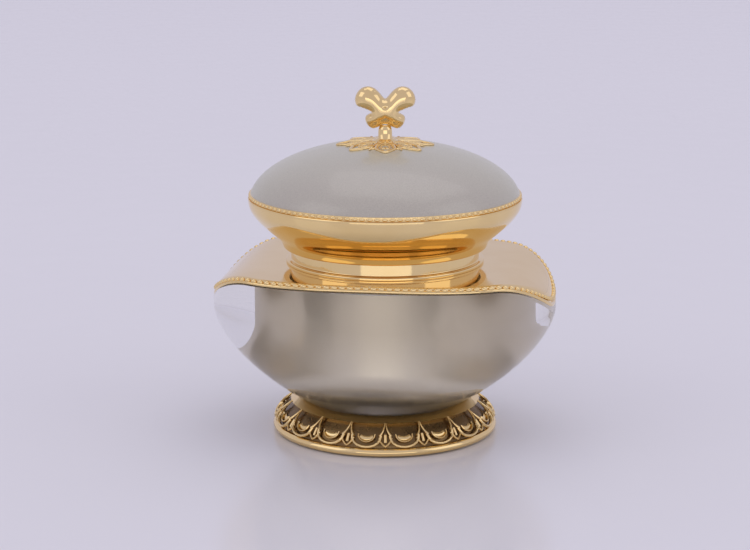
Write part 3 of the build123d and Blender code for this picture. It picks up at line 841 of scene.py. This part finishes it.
def knob_outline():
    """The butterfly's edge, in millimetres from the middle of its top: right half down, then mirrored."""
    half = [
        (0.0, -2.75), (0.55, -2.35), (1.5, -1.25), (2.6, -0.35), (3.9, 0.0), (5.3, -0.35), (6.4, -1.4),
        (6.9, -2.8), (6.75, -3.9), (6.3, -4.55), (5.2, -4.95), (3.9, -5.5), (3.15, -5.95), (3.7, -6.3),
        (4.35, -6.75), (4.55, -7.5), (4.3, -8.45), (3.6, -9.3), (2.7, -9.65), (1.8, -9.4), (0.9, -9.1),
        (0.0, -9.0),
    ]
    left = [(-x, y) for x, y in reversed(half[1:-1])]
    return [(p.x, p.y) for p in smooth_through(half + left, 5, closed=True)]


def inflate(outline, spacing, fullness):
    """Fills an outline with points and swells it like a cushion: gives points, triangles and heights."""
    edge = [Vector(p) for p in outline]
    xs, ys = [p.x for p in edge], [p.y for p in edge]
    lattice = []
    row, y = 0, min(ys)
    while y < max(ys):
        x = min(xs) + (row % 2) * spacing / 2
        while x < max(xs):
            crossings, nearest = 0, 1e9
            for a, b in zip(edge, edge[1:] + edge[:1]):
                if (a.y > y) != (b.y > y) and x < (b.x - a.x) * (y - a.y) / (b.y - a.y) + a.x:
                    crossings += 1
                run = b - a
                t = max(0.0, min(1.0, ((x - a.x) * run.x + (y - a.y) * run.y) / run.length_squared))
                nearest = min(nearest, hypot(x - a.x - t * run.x, y - a.y - t * run.y))
            if crossings % 2 and nearest > 0.45 * spacing:
                lattice.append(Vector((x, y)))
            x += spacing
        row += 1
        y += spacing * sqrt(3) / 2
    count = len(edge)
    ring = [(i, (i + 1) % count) for i in range(count)]
    points, _, faces, *_ = delaunay_2d_cdt(edge + lattice, ring, [], 1, 1e-6)
    swell = np.zeros(len(points))
    neighbours = [set() for _ in points]
    for a, b, c in faces:
        neighbours[a] |= {b, c}
        neighbours[b] |= {a, c}
        neighbours[c] |= {a, b}
    inner = [i for i in range(len(points)) if i >= count]
    starts = np.array([len(neighbours[i]) for i in inner])
    flat = np.array([j for i in inner for j in neighbours[i]])
    owner = np.repeat(np.arange(len(inner)), starts)
    for _ in range(1500):
        total = np.bincount(owner, swell[flat], len(inner))
        swell[inner] = total / starts + spacing * spacing / 4
    return points, faces, fullness * np.sqrt(swell)


def build_knob():
    """The puffed butterfly on its stem."""
    points, faces, swell = inflate(knob_outline(), 0.28, 1.45)
    bm = bmesh.new()
    right = Vector((cos(KNOB_CLOCK), sin(KNOB_CLOCK), 0))
    front = Vector((sin(KNOB_CLOCK), -cos(KNOB_CLOCK), 0))
    for side in (1, -1):
        verts = []
        for point, height in zip(points, swell):
            x, y = point
            ridge = -6.75 - 0.42 * abs(x) + 0.18 * exp(-x * x / 0.6)
            below = 1 / (1 + exp(max(-40.0, min(40.0, (y - ridge) / 0.1))))
            lifted = height * (1 - 0.22 * below)
            dimple = 0.45 * exp(-((x / 0.4) ** 2) - ((y + 4.6) / 0.22) ** 2)
            lifted = max(0.0, lifted - dimple)
            verts.append(bm.verts.new(right * x + front * (side * lifted) + Vector((0, 0, KNOB_TOP + y))))
        for a, b, c in faces:
            bm.faces.new((verts[a], verts[b], verts[c]))
    bmesh.ops.remove_doubles(bm, verts=bm.verts, dist=1e-4)
    stem_top = KNOB_TOP - 8.0
    stem = [
        (0, stem_top), (0.5, stem_top - 0.35), (1.1, stem_top - 0.9), (1.5, stem_top - 1.6),
        (1.58, stem_top - 2.2), (1.6, DOME_TOP + 0.9), (2.0, DOME_TOP + 0.6), (0, DOME_TOP + 0.5),
    ]
    lathe(bm, stem, 48)
    return make_piece("butterfly_gold", bm, [GOLD], "lid", ["butterfly_knob"], sharp=60)


# ---------------------------------------------------------------- carried-over nodes


def paint_nodes():
    """Gives the CAD pieces that stay as they are their finished materials."""
    finishes = {
        "base_weight": STEEL, "base_plate": BLACK_ABS, "foot_pad": FOOT_RUBBER, "inner_cup": WHITE_PP,
        "flange_gasket": SILICONE, "sealing_disc": WHITE_PP, "lid_liner": FOAM, "inner_cap": WHITE_PP,
        "lid_weight": STEEL, "knob_washer": STEEL, "knob_screw": STEEL,
    }
    for node, material in finishes.items():
        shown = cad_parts[node]
        shown.data.materials.clear()
        shown.data.materials.append(material)


# ---------------------------------------------------------------- studio


def build_studio():
    floor_bm = bmesh.new()
    lathe(floor_bm, [(0, 0), (300, 0), (1500, 0), (6000, 0)], 96)
    bmesh.ops.scale(floor_bm, vec=(MM, MM, MM), verts=floor_bm.verts)
    mesh = bpy.data.meshes.new("floor")
    floor_bm.to_mesh(mesh)
    floor_bm.free()
    floor = bpy.data.objects.new("floor", mesh)
    bpy.context.scene.collection.objects.link(floor)
    material, tree, shader = new_material("floor")
    shader.inputs["Base Color"].default_value = (0.84, 0.835, 0.845, 1)
    tree.links.new(spread(tree, object_noise(tree, 40), 0.16, 0.22), shader.inputs["Roughness"])
    shader.inputs["Specular IOR Level"].default_value = 0.5
    mesh.materials.append(material)

    world = bpy.data.worlds.new("studio")
    bpy.context.scene.world = world
    world.use_nodes = True
    world.node_tree.nodes["Background"].inputs["Color"].default_value = (0.80, 0.765, 0.92, 1)
    world.node_tree.nodes["Background"].inputs["Strength"].default_value = 0.76

    def softbox(name, place, size, power, colour=(1, 1, 1)):
        light = bpy.data.lights.new(name, "AREA")
        light.shape = "RECTANGLE"
        light.size, light.size_y = size
        light.energy = power
        light.color = colour
        lamp = bpy.data.objects.new(name, light)
        bpy.context.scene.collection.objects.link(lamp)
        lamp.location = place
        lamp.rotation_euler = (Vector((0, 0, 0.03)) - Vector(place)).to_track_quat("-Z", "Y").to_euler()

    softbox("softbox_left", (-1.6, -1.0, 1.3), (1.4, 1.4), 3.0)
    softbox("softbox_right", (1.7, -0.4, 1.1), (1.3, 1.3), 2.5)
    softbox("softbox_top", (0.1, 0.5, 2.0), (2.0, 1.6), 5.0)
    softbox("softbox_front", (0.35, -2.2, 0.25), (2.6, 0.7), 4.5, (1.0, 0.96, 0.88))
    bpy.context.scene.view_settings.view_transform = "Standard"


def build_camera():
    """The camera looks a little down at the jar, and is turned slightly towards its right tip."""
    azimuth, pitch, distance = radians(8.0), radians(12.9), 0.493
    right = Vector((cos(azimuth), sin(azimuth), 0))
    target = Vector((0, 0, 0.0363)) - right * 0.00233
    back = Vector((sin(azimuth) * cos(pitch), -cos(azimuth) * cos(pitch), sin(pitch)))
    data = bpy.data.cameras.new("camera")
    data.sensor_width = 36
    data.lens = 101.8
    data.clip_start = 0.01
    camera = bpy.data.objects.new("camera", data)
    bpy.context.scene.collection.objects.link(camera)
    camera.location = target + back * distance
    camera.rotation_euler = back.to_track_quat("Z", "Y").to_euler()
    bpy.context.scene.camera = camera


build_camera()
build_studio()
paint_nodes()
build_bowl()
build_cup()
build_shoulder()
build_shoulder_beads()
build_collar()
build_base()
build_lace()
build_dome()
build_skirt()
build_lid_beads()
build_rosette()
build_knob()
